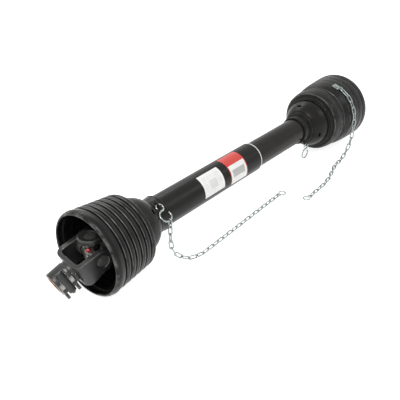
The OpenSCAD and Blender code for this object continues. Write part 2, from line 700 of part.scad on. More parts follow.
module far_chain_hook() {
  color("#c8cbc6") translate(far_hole - [0, 0, hook_reach]) rotate([90, 0, 0])
    s_hook(hook_big, hook_small, hook_wire);
}

// far shaft and joint
module inner_profile_tube() {
  color("#4a4b49") far_end() profile_tube(profile_wall + fit, inner_profile_len);
}
module far_tube_yoke() { color("#3d3e3c") far_end() tube_yoke(profile_wall + fit); }
module far_roll_pin() { color("#2c2c2b") far_end() roll_pin(); }
module far_root_cups() { color("#6d6e6b") far_end() rotate([90, 0, 0]) cups(); }
module far_root_clips() { color("#242423") far_end() rotate([90, 0, 0]) clips(); }
module far_cross() { color("#6a6b68") far_end() cross(); }
module far_cup_seals() { color("#1a1a1a") far_end() cup_seals(); }
module far_grease_nipple() { color("#c2b26a") far_end() grease_nipple(); }
module far_grease_cap() { color("#b3131b") far_end() grease_cap(); }
module far_yoke() { color("#4b4d4a") far_end() quick_yoke(); }
module far_yoke_cups() { color("#6d6e6b") far_end() cups(); }
module far_yoke_clips() { color("#242423") far_end() clips(); }
module far_pin_ring() { color("#8b8c89") far_end() pin_ring(); }
module far_push_pin() { color("#1d1d1c") far_end() push_pin(); }
module far_pin_spring() { color("#8b8c89") far_end() pin_spring(); }

near_guard_tube();
tube_end_ring();
near_guard_base();
near_bellows();
near_bearing_ring();
near_guard_screws();
near_chain_hook();
near_chain();
near_chain_end_hook();
outer_profile_tube();
near_tube_yoke();
near_roll_pin();
near_root_cups();
near_root_clips();
near_cross();
near_cup_seals();
near_grease_nipple();
near_grease_cap();
near_yoke();
near_yoke_cups();
near_yoke_clips();
near_pin_ring();
near_push_pin();
near_pin_spring();
inner_profile_tube();
far_tube_yoke();
far_roll_pin();
far_root_cups();
far_root_clips();
far_guard_tube();
far_guard_base();
far_bellows();
far_bearing_ring();
far_guard_screws();
far_chain_plate();
far_plate_rivet();
far_chain_loop();
far_chain();
far_chain_end_hook();
far_chain_hook();
far_cross();
far_cup_seals();
far_grease_nipple();
far_grease_cap();
far_yoke();
far_yoke_cups();
far_yoke_clips();
far_pin_ring();
far_push_pin();
far_pin_spring();
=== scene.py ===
"""Looks of the pto drive shaft, built around its packed CAD frame.

The frame's nodes keep their shapes. This script gives every node a finish,
remakes the two ribbed cones, the guard bases and the pin springs as smoother
meshes in the same places, and adds the labels, the floor, the lights and the camera.
All lengths are in metres, in the frame's own axes: X along the shaft, Z up.
"""

import math

import bmesh
import bpy
from mathutils import Matrix, Vector


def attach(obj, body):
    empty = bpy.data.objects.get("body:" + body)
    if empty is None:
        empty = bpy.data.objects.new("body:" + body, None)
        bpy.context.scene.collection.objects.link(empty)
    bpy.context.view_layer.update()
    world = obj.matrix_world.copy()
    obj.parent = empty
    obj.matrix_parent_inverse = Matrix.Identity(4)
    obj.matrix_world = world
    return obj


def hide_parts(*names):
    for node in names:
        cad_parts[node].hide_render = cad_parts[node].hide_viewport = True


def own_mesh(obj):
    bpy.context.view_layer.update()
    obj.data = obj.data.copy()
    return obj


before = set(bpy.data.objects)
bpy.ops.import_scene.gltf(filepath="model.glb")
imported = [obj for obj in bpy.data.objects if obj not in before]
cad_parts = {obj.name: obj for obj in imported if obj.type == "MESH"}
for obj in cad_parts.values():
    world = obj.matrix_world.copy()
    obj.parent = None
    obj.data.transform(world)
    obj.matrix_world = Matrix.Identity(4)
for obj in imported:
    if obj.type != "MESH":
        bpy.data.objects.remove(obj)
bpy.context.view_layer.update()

bl_info = {
    "name": "PTO drive shaft",
    "version": (1, 0, 0),
    "blender": (4, 5, 0),
    "location": "3D View > Sidebar > Drive Shaft",
    "description": "Finishes, ribbed cones, labels and studio of a guarded PTO drive shaft",
    "category": "Object",
}

# Places that the CAD source gives, in metres.
AXIS_Z = 0.091
NEAR_X = -0.44027109
FAR_X = 0.44272891
NEAR_MOUTH = 0.015
FAR_MOUTH = 0.053
SHOULDER = 0.097
DOME_R = 0.0625
LIP = 0.023
RIBS = 6
CONE_R = 0.091
TAPER = 0.012
NEAR_SWELL = 1.0
FAR_SWELL = 2.2
WALL = 0.003
COLLAR = 0.013
COLLAR_T = 0.0035
FOLD_W = 0.003
TUBE_R = 0.036
YOKE_LEN = 0.091
HUB_MID = -0.0735
PIN_OFF = 0.020
PIN_LEAN = math.radians(-30)
PIN_R = 0.005
PIN_SEAT = 0.005
SPRING_FIT = 0.0002
SPRING_LEN = 0.0106

# How each end's own axes stand in the frame.
NEAR_YOKE_AT = (
    Matrix.Translation((NEAR_X, 0.0, AXIS_Z))
    @ Matrix.Rotation(math.radians(-8), 4, "Z")
    @ Matrix.Rotation(math.radians(-22), 4, "Y")
)
FAR_YOKE_AT = Matrix.Translation((FAR_X, 0.0, AXIS_Z)) @ Matrix.Rotation(math.pi, 4, "Z")
PIN_TURN = Matrix.Translation((HUB_MID, 0.0, 0.0)) @ Matrix.Rotation(PIN_LEAN, 4, "X")

# Forms that only the looks have, in metres.
WAIST_AT = 0.112
WAIST_SPREAD = 0.010
WAIST_DEPTH = 0.0044
CROWN = 0.0009
FAR_SKIN = 0.0002
LABEL_GAP = 0.00003

# The smooth skins: size of the grain, passes of smoothing, share of the triangles kept.
DOME_SKIN = (0.0010, 9, 0.40)
YOKE_SKIN = (0.0007, 9, 0.45)
TUBE_YOKE_SKIN = (0.0010, 5, 0.45)

# Steps round the curves.
COIL_STEPS = 28
WIRE_SIDES = 12
LABEL_STEPS = 32

# The labels: from and to along X, from and to in degrees up from the camera's side,
# corner radius, angle where the band starts, and whether faint rows run across it.
LABELS = {
    "white_label": (-0.1433, -0.0753, -10, 78, 0.0014, None, True),
    "banded_label": (-0.0513, 0.0097, -20, 107, 0.0022, math.radians(53), False),
}

# Plain steels: colour, metallic, roughness, colour and amount of the film, scale of the tool marks.
STEELS = {
    "bearing_steel": ((0.34, 0.34, 0.33), 0.9, 0.30, (0.17, 0.15, 0.12), 0.55, 900),
    "black_steel": ((0.035, 0.035, 0.036), 0.6, 0.42, (0.055, 0.045, 0.035), 0.4, 700),
    "nipple_steel": ((0.62, 0.53, 0.28), 1.0, 0.28, (0.40, 0.32, 0.17), 0.5, 1200),
    "pin_steel": ((0.028, 0.028, 0.029), 0.5, 0.34, (0.050, 0.045, 0.038), 0.35, 900),
    "pin_ring_steel": ((0.30, 0.30, 0.29), 0.9, 0.34, (0.16, 0.13, 0.10), 0.5, 900),
    "spring_steel": ((0.33, 0.33, 0.34), 1.0, 0.26, (0.20, 0.16, 0.11), 0.35, 1200),
    "tube_steel": ((0.115, 0.113, 0.108), 0.85, 0.36, (0.055, 0.045, 0.032), 0.65, 500),
    "screw_steel": ((0.030, 0.030, 0.031), 0.6, 0.40, (0.060, 0.052, 0.044), 0.4, 900),
}

# The studio: the floor, the camera's place and its turn in degrees, and what the lights aim at.
WHITE = (1.0, 1.0, 1.0)
FLOOR_HALF = 12.0
FLOOR_GLOW = 0.42
BACKDROP = 1.1
CAMERA_AT = (-1.0242, -0.7660, 0.7884)
CAMERA_DOWN = 31.68
CAMERA_TURN = -49.72
LIGHT_AIM = Vector((0.0, 0.0, 0.09))


# ---------------------------------------------------------------- settings


class ConeSettings(bpy.types.PropertyGroup):
    """Sizes and colour of the two ribbed cones."""

    colour: bpy.props.FloatVectorProperty(
        name="Cone colour", description="Colour of the clean black plastic",
        subtype="COLOR", size=3, min=0, max=1, default=(0.0062, 0.0064, 0.0060))
    # this colour lightens the rib edges both as rubbed wear and as a painted highlight
    wear_and_highlight: bpy.props.FloatVectorProperty(
        name="Rubbed colour", description="Colour where the edges of the ribs are rubbed",
        subtype="COLOR", size=3, min=0, max=1, default=(0.190, 0.192, 0.180))
    near_fold: bpy.props.FloatProperty(
        name="Near fold depth", description="Depth of the folds of the near cone",
        unit="LENGTH", default=0.0037, min=0.001, max=0.005)
    far_fold: bpy.props.FloatProperty(
        name="Far fold depth", description="Depth of the folds of the far cone",
        unit="LENGTH", default=0.0015, min=0.0005, max=0.005)
    rounding: bpy.props.FloatProperty(
        name="Edge rounding", description="Radius on the moulded edges of the cones",
        unit="LENGTH", default=0.0007, min=0.0001, max=0.001)
    steps: bpy.props.IntProperty(
        name="Steps", description="Steps round each cone", default=144, min=48, max=240)


class GuardSettings(bpy.types.PropertyGroup):
    """Colours of the guard tubes, guard bases and rings."""

    outer: bpy.props.FloatVectorProperty(
        name="Outer guard", description="Colour of the near guard tube and base",
        subtype="COLOR", size=3, min=0, max=1, default=(0.0075, 0.0075, 0.0070))
    inner: bpy.props.FloatVectorProperty(
        name="Inner guard", description="Colour of the far guard tube and base",
        subtype="COLOR", size=3, min=0, max=1, default=(0.0100, 0.0088, 0.0074))
    dust: bpy.props.FloatVectorProperty(
        name="Dust", description="Colour of the dust that lies on the plastic",
        subtype="COLOR", size=3, min=0, max=1, default=(0.115, 0.105, 0.088))
    ring: bpy.props.FloatVectorProperty(
        name="End ring", description="Colour of the pale ring on the tube's end",
        subtype="COLOR", size=3, min=0, max=1, default=(0.74, 0.74, 0.71))


class LabelSettings(bpy.types.PropertyGroup):
    """Sizes and colours of the two plain labels on the near guard tube."""

    paper: bpy.props.FloatVectorProperty(
        name="Paper", description="Colour of the labels' white field",
        subtype="COLOR", size=3, min=0, max=1, default=(0.88, 0.88, 0.86))
    band: bpy.props.FloatVectorProperty(
        name="Band", description="Colour of the band on the second label",
        subtype="COLOR", size=3, min=0, max=1, default=(0.64, 0.040, 0.028))
    thickness: bpy.props.FloatProperty(
        name="Thickness", description="Thickness of a label",
        unit="LENGTH", default=0.00018, min=0.00005, max=0.0006)


class SteelSettings(bpy.types.PropertyGroup):
    """Colours of the forged and machined steel."""

    forging: bpy.props.FloatVectorProperty(
        name="Forging", description="Colour of the yokes' dark skin",
        subtype="COLOR", size=3, min=0, max=1, default=(0.042, 0.044, 0.042))
    ground: bpy.props.FloatVectorProperty(
        name="Ground face", description="Colour of the yokes' ground faces",
        subtype="COLOR", size=3, min=0, max=1, default=(0.42, 0.42, 0.40))
    rust: bpy.props.FloatVectorProperty(
        name="Rust", description="Colour of the light rust in the splined bore",
        subtype="COLOR", size=3, min=0, max=1, default=(0.30, 0.105, 0.030))
    cap: bpy.props.FloatVectorProperty(
        name="Grease cap", description="Colour of the grease nipples' caps",
        subtype="COLOR", size=3, min=0, max=1, default=(0.50, 0.030, 0.045))


class ChainSettings(bpy.types.PropertyGroup):
    """Colours of the chains, hooks and screws."""

    zinc: bpy.props.FloatVectorProperty(
        name="Zinc", description="Colour of the bright zinc on chains and hooks",
        subtype="COLOR", size=3, min=0, max=1, default=(0.33, 0.37, 0.355))
    spring_wire: bpy.props.FloatProperty(
        name="Spring wire", description="Thickness of the pin spring's wire",
        unit="LENGTH", default=0.0012, min=0.0008, max=0.0016)
    spring_turns: bpy.props.IntProperty(
        name="Spring turns", description="Turns of the pin spring", default=5, min=4, max=9)


class StudioSettings(bpy.types.PropertyGroup):
    """Floor, lights and camera."""

    floor: bpy.props.FloatVectorProperty(
        name="Floor", description="Colour of the pale floor",
        subtype="COLOR", size=3, min=0, max=1, default=(0.93, 0.93, 0.93))
    key: bpy.props.FloatProperty(
        name="Key light", description="Power of the large light over the shaft",
        unit="POWER", default=27.0, min=0.0, max=200.0)
    fill: bpy.props.FloatProperty(
        name="Fill light", description="Power of the lights behind the shaft and at its far end",
        unit="POWER", default=12.0, min=0.0, max=200.0)
    sky: bpy.props.FloatProperty(
        name="Surround", description="Brightness of the white surround",
        default=0.38, min=0.0, max=3.0)
    lens: bpy.props.FloatProperty(
        name="Lens", description="Focal length of the camera, in millimetres on a 36 mm frame",
        default=55.25, min=20.0, max=200.0)


# ---------------------------------------------------------------- finishes


class Wire:
    """A number, a vector or a colour on its way through a finish's nodes."""

    def __init__(self, finish, socket):
        self.finish = finish
        self.socket = socket

    def _is_vector(self):
        return self.socket.type in {"VECTOR", "RGBA"}

    def _sum(self, operation, other, swapped=False):
        pair = (other, self) if swapped else (self, other)
        if self._is_vector() or (isinstance(other, Wire) and other._is_vector()):
            return self.finish.add("ShaderNodeVectorMath", {"operation": operation}, pair)
        return self.finish.add("ShaderNodeMath", {"operation": operation}, pair)

    def __add__(self, other):
        return self._sum("ADD", other)

    def __radd__(self, other):
        return self._sum("ADD", other, True)

    def __sub__(self, other):
        return self._sum("SUBTRACT", other)

    def __rsub__(self, other):
        return self._sum("SUBTRACT", other, True)

    def __mul__(self, other):
        return self._sum("MULTIPLY", other)

    def __rmul__(self, other):
        return self._sum("MULTIPLY", other, True)

    def __truediv__(self, other):
        return self._sum("DIVIDE", other)

    def __abs__(self):
        return self.finish.add("ShaderNodeMath", {"operation": "ABSOLUTE"}, (self,))

    def to(self, operation, *others):
        """Any other Math operation on this number."""
        return self.finish.add("ShaderNodeMath", {"operation": operation}, (self, *others))

    def over(self, low, high):
        """0 below low, 1 above high and a smooth rise between; low may be the higher."""
        settings = {"interpolation_type": "SMOOTHSTEP"}
        if low < high:
            return self.finish.add("ShaderNodeMapRange", settings,
                                   {"Value": self, "From Min": low, "From Max": high})
        return self.finish.add("ShaderNodeMapRange", settings,
                               {"Value": self, "From Min": high, "From Max": low,
                                "To Min": 1.0, "To Max": 0.0})


class Finish:
    """One procedural material on Object coordinates."""

    def __init__(self, name):
        self.material = bpy.data.materials.new(name)
        self.material.use_nodes = True
        self.tree = self.material.node_tree
        self.tree.nodes.clear()
        self.count = 0
        self.output = self.tree.nodes.new("ShaderNodeOutputMaterial")
        self.output.location = (400, 0)
        self.shader = self.tree.nodes.new("ShaderNodeBsdfPrincipled")
        self.tree.links.new(self.shader.outputs["BSDF"], self.output.inputs["Surface"])
        places = self.tree.nodes.new("ShaderNodeTexCoord")
        self.point = Wire(self, places.outputs["Object"])
        self.facing = Wire(self, places.outputs["Normal"])
        apart = self.tree.nodes.new("ShaderNodeSeparateXYZ")
        self.tree.links.new(self.point.socket, apart.inputs[0])
        self.x, self.y, self.z = (Wire(self, socket) for socket in apart.outputs)

    def add(self, kind, settings, inputs, output=0):
        """A node of this type with its settings, then the values or links of its sockets."""
        node = self.tree.nodes.new(kind)
        self.count += 1
        node.location = (-200 - 180 * (self.count % 9), 300 - 170 * (self.count // 9))
        for key, value in settings.items():
            if key == "stops":
                for index, (place, colour) in enumerate(value):
                    stops = node.color_ramp.elements
                    stop = stops[index] if index < len(stops) else stops.new(place)
                    stop.position = place
                    stop.color = colour
            else:
                setattr(node, key, value)
        pairs = inputs.items() if isinstance(inputs, dict) else enumerate(inputs)
        for key, value in pairs:
            socket = node.inputs[key]
            if isinstance(value, Wire):
                self.tree.links.new(value.socket, socket)
            elif socket.type == "RGBA":
                socket.default_value = (*value, 1.0) if len(value) == 3 else value
            elif socket.type == "VECTOR" and isinstance(value, (int, float)):
                socket.default_value = (value, value, value)
            else:
                socket.default_value = value
        return Wire(self, node.outputs[output])

    def stretch(self, sx, sy, sz):
        """The point with its three axes stretched."""
        return self.point * Vector((sx, sy, sz))

    def noise(self, scale, detail=3.0, rough=0.55, place=None):
        return self.add("ShaderNodeTexNoise", {"noise_dimensions": "3D"},
                        {"Vector": place or self.point, "Scale": scale, "Detail": detail,
                         "Roughness": rough})

    def cells(self, scale, place=None):
        return self.add("ShaderNodeTexVoronoi", {"feature": "F1"},
                        {"Vector": place or self.point, "Scale": scale})

    def mix(self, factor, first, second):
        """A colour from first at factor 0 to second at factor 1."""
        return self.add("ShaderNodeMix", {"data_type": "RGBA", "blend_type": "MIX"},
                        {0: factor, 6: first, 7: second}, 2)

    def dot(self, vector, direction):
        return self.add("ShaderNodeVectorMath", {"operation": "DOT_PRODUCT"},
                        (vector, Vector(direction)), 1)

    def rounded(self, radius):
        """The surface's direction with its sharp edges rounded."""
        return self.add("ShaderNodeBevel", {"samples": 4}, {"Radius": radius})

    def edge(self, radius):
        """1 along sharp edges and 0 on open faces."""
        true = self.add("ShaderNodeNewGeometry", {}, {}, "Normal")
        match = self.add("ShaderNodeVectorMath", {"operation": "DOT_PRODUCT"},
                         (self.rounded(radius), true), 1)
        return match.over(0.995, 0.90)

    def relief(self, height, distance, strength=1.0, under=None):
        """Small relief, of the given distance in metres, over the surface's direction."""
        inputs = {"Height": height, "Distance": distance, "Strength": strength}
        if under is not None:
            inputs["Normal"] = under
        return self.add("ShaderNodeBump", {}, inputs)

    def finish(self, **sockets):
        """Sets or links the shader's sockets, with _ for a space in a socket's name."""
        for key, value in sockets.items():
            socket = self.shader.inputs[key.replace("_", " ")]
            if isinstance(value, Wire):
                self.tree.links.new(value.socket, socket)
            elif socket.type == "RGBA":
                socket.default_value = (*value, 1.0)
            else:
                socket.default_value = value
        return self.material


def cone_plastic(name, settings, dust, mouth_x, way, step, fold):
    """Black plastic of a ribbed cone: grain, dust, painted shade in the folds, and rib edges
    lightened by rubbing and by a painted highlight.
    """
    f = Finish(name)
    along = (f.x - mouth_x) * way
    part = ((along - LIP) / step).to("FRACT")
    edge_low = abs(part - (FOLD_W + 0.0009) / step)
    edge_high = abs(part - (step - 0.0006) / step)
    near_edge = edge_low.to("MINIMUM", edge_high)
    width = 0.0011 / step
    on_ribs = along.over(LIP - 0.0035, LIP - 0.0015)
    patchy = f.noise(38, 4, 0.6)
    outward = f.add("ShaderNodeVectorMath", {"operation": "DOT_PRODUCT"},
                    (f.facing, (f.point - Vector((0, 0, AXIS_Z))) * Vector((0, 1, 1))), 1)
    outside = outward.over(0.0, 0.02)
    # the fold edges on the outside are lightened: partly rubbed wear, partly a painted highlight on
    # the moulded edges
    rubbed = near_edge.over(width, width * 0.15) * patchy.over(0.30, 0.56) * on_ribs * outside
    # the mouth's rim is rubbed too
    rim = along.over(0.0055, 0.0012) * f.noise(55, 4, 0.6).over(0.40, 0.66)
    rubbed = rubbed.to("MAXIMUM", rim * 0.8)
    # painted shade: the valleys of the folds are darkened towards a deeper black
    fold_shade = part.over((FOLD_W - 0.0002) / step, (FOLD_W - 0.0018) / step) * on_ribs
    cloud = f.noise(9, 5, 0.62).over(0.42, 0.72)
    fine = f.noise(160, 3, 0.6).over(0.45, 0.75)
    up = f.dot(f.facing, (0, 0, 1)).over(-0.1, 0.9)
    smear = f.noise(1.0, 4, 0.6, f.stretch(22, 95, 95)).over(0.55, 0.78)
    dusty = (cloud * (0.35 + up * 0.65) * (0.55 + fine * 0.45)) * 0.11 + smear * 0.04
    colour = f.mix(dusty, settings.colour, dust)
    colour = f.mix(fold_shade * 0.55, colour, Vector(settings.colour) * 0.45)
    colour = f.mix(rubbed * (0.34 + 0.30 * fold / 0.003), colour, settings.wear_and_highlight)
    grain = f.noise(1150, 2, 0.5)
    rings = f.noise(1.0, 2, 0.5, f.stretch(520, 5, 5))
    scratch = f.noise(1.0, 3, 0.7, f.stretch(90, 900, 900)).over(0.66, 0.74)
    height = grain * 0.55 + rings * 0.30 - scratch * 0.35
    rough = 0.30 + cloud * 0.12 + fine * 0.05 - rubbed * 0.08 + scratch * 0.08
    return f.finish(Base_Color=colour, Roughness=rough, Specular_IOR_Level=0.18,
                    Normal=f.relief(height, 0.00011, 0.6))


def guard_plastic(name, base, dust, warmth, streaks):
    """Black extruded or moulded guard plastic with draw lines, dust and handling marks."""
    f = Finish(name)
    # seen along the tube, the draw lines change only with the angle round it
    lines = f.noise(1.0, 3, 0.6, f.stretch(1.6, 560, 560))
    bands = f.noise(1.0, 3, 0.6, f.stretch(3.0, 90, 90)).over(0.46, 0.70)
    cloud = f.noise(7.5, 5, 0.65).over(0.42, 0.74)
    fine = f.noise(210, 3, 0.6).over(0.48, 0.78)
    up = f.dot(f.facing, (0, 0, 1)).over(-0.2, 0.95)
    handled = f.noise(1.0, 4, 0.65, f.stretch(30, 120, 120)).over(0.60, 0.80)
    dusty = cloud * (0.25 + up * 0.75) * (0.5 + fine * 0.5) * 0.10 + bands * 0.03 + handled * 0.04
    colour = f.mix(dusty, base, dust)
    warm = f.noise(3.2, 3, 0.5).over(0.40, 0.66)
    colour = f.mix(warm * warmth, colour, (0.022, 0.015, 0.010))
    scratch = f.noise(1.0, 3, 0.7, f.stretch(14, 1000, 1000)).over(0.68, 0.75)
    grain = f.noise(1300, 2, 0.5)
    height = grain * 0.35 + lines * streaks - scratch * 0.5
    rough = 0.28 + cloud * 0.10 + bands * 0.05 + scratch * 0.10
    return f.finish(Base_Color=colour, Roughness=rough, Specular_IOR_Level=0.16,
                    Normal=f.relief(height, 0.00010, 0.6))


def pale_plastic(name, base, amount, gloss):
    """Pale plastic: faint soiling in patches and a fine moulded grain."""
    f = Finish(name)
    soil = f.noise(26, 5, 0.65).over(0.44, 0.76)
    specks = f.cells(900).over(0.22, 0.10) * f.noise(70, 2, 0.5).over(0.55, 0.70)
    colour = f.mix(soil * amount, base, (0.36, 0.33, 0.27))
    colour = f.mix(specks * 0.35, colour, (0.14, 0.13, 0.11))
    height = f.noise(900, 2, 0.5)
    return f.finish(Base_Color=colour, Roughness=gloss + soil * 0.15,
                    Normal=f.relief(height, 0.00006, 0.5))


def zinc_steel(name, base, rough, spots):
    """Bright zinc on steel: drifting tint, fine drawing lines and dull white spots."""
    f = Finish(name)
    drift = f.noise(48, 3, 0.6)
    bloom = f.noise(230, 4, 0.65).over(0.54, 0.74)
    colour = f.mix(drift.over(0.40, 0.62) * 0.45, base, (0.24, 0.295, 0.27))
    colour = f.mix(f.noise(90, 3, 0.6).over(0.58, 0.72) * 0.35, colour, (0.38, 0.345, 0.27))
    colour = f.mix(bloom * spots, colour, (0.52, 0.53, 0.52))
    height = f.noise(700, 3, 0.6)
    return f.finish(Base_Color=colour, Metallic=1.0 - bloom * spots * 0.5,
                    Roughness=rough + drift * 0.10 + bloom * 0.16,
                    Normal=f.relief(height, 0.00008, 0.5))


def forged_steel(name, steel, place, pads):
    """Dark forging: scale, edges lightened by wear and by a painted highlight, ground faces beside
    the pin and a rusty bore.
    """
    f = Finish(name)
    local = f.point - place.translation
    axis = (place.to_3x3() @ Vector((-1, 0, 0))).normalized()
    along = f.dot(local, axis)
    across = f.add("ShaderNodeVectorMath", {"operation": "CROSS_PRODUCT"}, (local, axis))
    radius = f.add("ShaderNodeVectorMath", {"operation": "LENGTH"}, (across,), 1)
    scale = f.noise(150, 5, 0.65)
    cloud = f.noise(24, 4, 0.6).over(0.40, 0.68)
    colour = f.mix(cloud * 0.55, steel.forging, Vector(steel.forging) * 0.55)
    colour = f.mix(f.noise(420, 3, 0.6).over(0.56, 0.74) * 0.30, colour, (0.075, 0.077, 0.073))
    # the edges and convex turns are lightened: partly edge wear, partly a painted highlight
    turns = f.add("ShaderNodeNewGeometry", {}, {}, "Pointiness").over(0.515, 0.60)
    edge = f.edge(0.0020).to("MAXIMUM", turns)
    wear_and_highlight = edge * (0.45 + f.noise(190, 3, 0.6).over(0.35, 0.60) * 0.55)
    colour = f.mix(wear_and_highlight * 0.75, colour, (0.36, 0.365, 0.35))
    metal = 0.55 + wear_and_highlight * 0.35
    rough = 0.33 + cloud * 0.08 - wear_and_highlight * 0.06
    relief = scale * 0.55
    if pads:
        # two ground strips beside the pin, on the flat that it comes out of
        lean = place.to_3x3() @ Matrix.Rotation(PIN_LEAN, 3, "X")
        out = lean @ Vector((0, -1, 0))
        ground = f.dot(f.facing, out).over(0.985, 0.997) * along.over(0.0545, 0.0555)
        hub = f.point - place @ Vector((HUB_MID, 0.0, 0.0))
        beside = abs(f.dot(hub, place.to_3x3() @ Vector((1, 0, 0))))
        down = f.dot(hub, lean @ Vector((0, 0, 1)))
        ground = ground * beside.over(0.0072, 0.0078) * beside.over(0.0157, 0.0152)
        ground = ground * down.over(-0.0128, -0.0122) * down.over(-0.0018, -0.0024)
        marks = f.noise(1.0, 3, 0.7, f.stretch(180, 1500, 900))
        colour = f.mix(ground * (0.70 + marks * 0.3), colour, steel.ground)
        # the turned end face and the bore's mouth
        face = f.dot(f.facing, axis).over(0.96, 0.99)
        face = face * along.over(YOKE_LEN - 0.004, YOKE_LEN - 0.003)
        rings = f.noise(1.0, 2, 0.5, f.add("ShaderNodeCombineXYZ", {}, (radius * 900.0, 0.0, 0.0)))
        colour = f.mix(face * 0.55, colour, f.mix(rings, (0.09, 0.092, 0.09), (0.20, 0.20, 0.19)))
        patches = f.noise(120, 4, 0.65)
        rust = radius.over(0.0212, 0.0182) * along.over(0.050, 0.058)
        rust = rust * (0.35 + patches.over(0.36, 0.58) * 0.65)
        stain = radius.over(0.0245, 0.019) * along.over(YOKE_LEN - 0.006, YOKE_LEN - 0.002)
        rust = rust.to("MAXIMUM", stain * patches.over(0.50, 0.70) * 0.6)
        deep = f.mix(f.noise(300, 3, 0.6).over(0.42, 0.62), steel.rust, (0.42, 0.185, 0.060))
        colour = f.mix(rust * 0.92, colour, deep)
        metal = metal * (1.0 - rust * 0.9) + ground * 0.45
        rough = rough + rust * 0.24 - ground * 0.14 - face * 0.10
        relief = relief * (1.0 - ground * 0.85) + rust * patches * 0.5
    return f.finish(Base_Color=colour, Metallic=metal.to("MINIMUM", 1.0), Roughness=rough,
                    Normal=f.relief(relief, 0.00028, 0.55, f.rounded(0.0012)))


def plain_steel(name):
    """Machined, blackened or oiled steel with tool marks and a film in patches."""
    base, metal, rough, film, film_amount, fine = STEELS[name]
    f = Finish(name)
    patches = f.noise(60, 4, 0.62).over(0.42, 0.68)
    marks = f.noise(1.0, 3, 0.65, f.stretch(fine * 0.4, fine, fine))
    edge = f.edge(0.0006)
    colour = f.mix(patches * film_amount, base, film)
    colour = f.mix(edge * 0.35, colour, Vector(base) * 0.5 + Vector((0.16, 0.16, 0.155)))
    return f.finish(Base_Color=colour, Metallic=metal,
                    Normal=f.relief(marks, 0.00007, 0.5, f.rounded(0.0004)),
                    Roughness=rough + patches * 0.12 + marks * 0.08 - edge * 0.06)


def seal_rubber(name):
    """Matt black rubber with grease picked up at its lips."""
    f = Finish(name)
    grease = f.noise(180, 4, 0.6).over(0.50, 0.70)
    colour = f.mix(grease * 0.5, (0.012, 0.012, 0.012), (0.050, 0.042, 0.030))
    return f.finish(Base_Color=colour, Roughness=0.72 - grease * 0.30,
                    Normal=f.relief(f.noise(1200, 2, 0.5), 0.00006, 0.5))


def cap_plastic(name, base):
    """Soft glossy cap with moulding flow and a few scuffs."""
    f = Finish(name)
    flow = f.noise(150, 3, 0.6)
    scuff = f.noise(420, 3, 0.65).over(0.60, 0.74)
    colour = f.mix(flow.over(0.35, 0.65) * 0.35, base, Vector(base) * 0.6)
    colour = f.mix(scuff * 0.25, colour, (0.62, 0.30, 0.28))
    return f.finish(Base_Color=colour, Roughness=0.30 + scuff * 0.25, Coat_Weight=0.25,
                    Normal=f.relief(flow, 0.00008, 0.4))


def label_paper(name, label, middle, half, band_from, rows):
    """Label on the tube: a white field, plain fields of colour, scuffs and dirt."""
    f = Finish(name)
    angle = (f.z - AXIS_Z).to("ARCTAN2", -1.0 * f.y)
    side = abs(f.x - middle)
    colour = f.mix(f.noise(60, 4, 0.6).over(0.45, 0.75) * 0.16, label.paper, (0.50, 0.48, 0.43))
    if rows:
        row = (angle * (0.5 * 180 / math.pi / 4.0)).to("FRACT")
        inked = row.over(0.42, 0.48) * row.over(0.86, 0.80)
        inside = side.over(half - 0.0065, half - 0.0075)
        inside = inside * angle.over(0.02, 0.05) * angle.over(1.12, 1.08)
        colour = f.mix(inked * inside * 0.16, colour, (0.30, 0.30, 0.30))
        block = side.over(0.0125, 0.0115) * angle.over(0.20, 0.23) * angle.over(0.82, 0.79)
        colour = f.mix(block * 0.20, colour, (0.26, 0.26, 0.26))
    if band_from is not None:
        band = angle.over(band_from - 0.008, band_from + 0.008)
        band = band.to("MAXIMUM", side.over(half - 0.0026, half - 0.0021))
        colour = f.mix(band, colour, label.band)
        field = side.over(half - 0.0085, half - 0.0093)
        field = field * angle.over(0.10, 0.12) * angle.over(0.60, 0.58)
        colour = f.mix(field * 0.55, colour, (0.13, 0.13, 0.135))
    rubbed = f.noise(340, 4, 0.7).over(0.66, 0.76)
    colour = f.mix(rubbed * 0.35, colour, (0.62, 0.60, 0.57))
    return f.finish(Base_Color=colour, Roughness=0.32 + rubbed * 0.3, Coat_Weight=0.2,
                    Normal=f.relief(f.noise(420, 3, 0.6), 0.00005, 0.5))


def shown_to(tree):
    """1 where the camera, a reflection or glass sees the background, else 0."""
    path = tree.nodes.new("ShaderNodeLightPath")
    total = path.outputs["Is Camera Ray"]
    for ray in ("Is Glossy Ray", "Is Transmission Ray"):
        both = tree.nodes.new("ShaderNodeMath")
        both.operation = "MAXIMUM"
        tree.links.new(total, both.inputs[0])
        tree.links.new(path.outputs[ray], both.inputs[1])
        total = both.outputs[0]
    return total


def give(finish, *nodes):
    """Gives a material to CAD nodes."""
    for name in nodes:
        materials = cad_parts[name].data.materials
        materials.clear()
        materials.append(finish)


# ---------------------------------------------------------------- meshes


def piece_from(bm, name, body, finish, smooth=40, replaces=()):
    """Makes a finished piece from a bmesh: shading, material and body; the CAD nodes that it stands
    for are hidden.
    """
    mesh = bpy.data.meshes.new(name)
    bm.to_mesh(mesh)
    bm.free()
    for face in mesh.polygons:
        face.use_smooth = True
    mesh.set_sharp_from_angle(angle=math.radians(smooth))
    mesh.materials.append(finish)
    piece = bpy.data.objects.new(name, mesh)
    bpy.context.scene.collection.objects.link(piece)
    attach(piece, body)
    if replaces:
        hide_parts(*replaces)
    return piece


def cone_radius(along, length, swell):
    """Radius of a cone at a distance from its mouth; the far one has a shallow waist."""
    radius = CONE_R - TAPER * (along / length) ** swell
    if swell == FAR_SWELL:
        radius -= WAIST_DEPTH * math.exp(-((along - WAIST_AT) / WAIST_SPREAD) ** 2)
    return radius


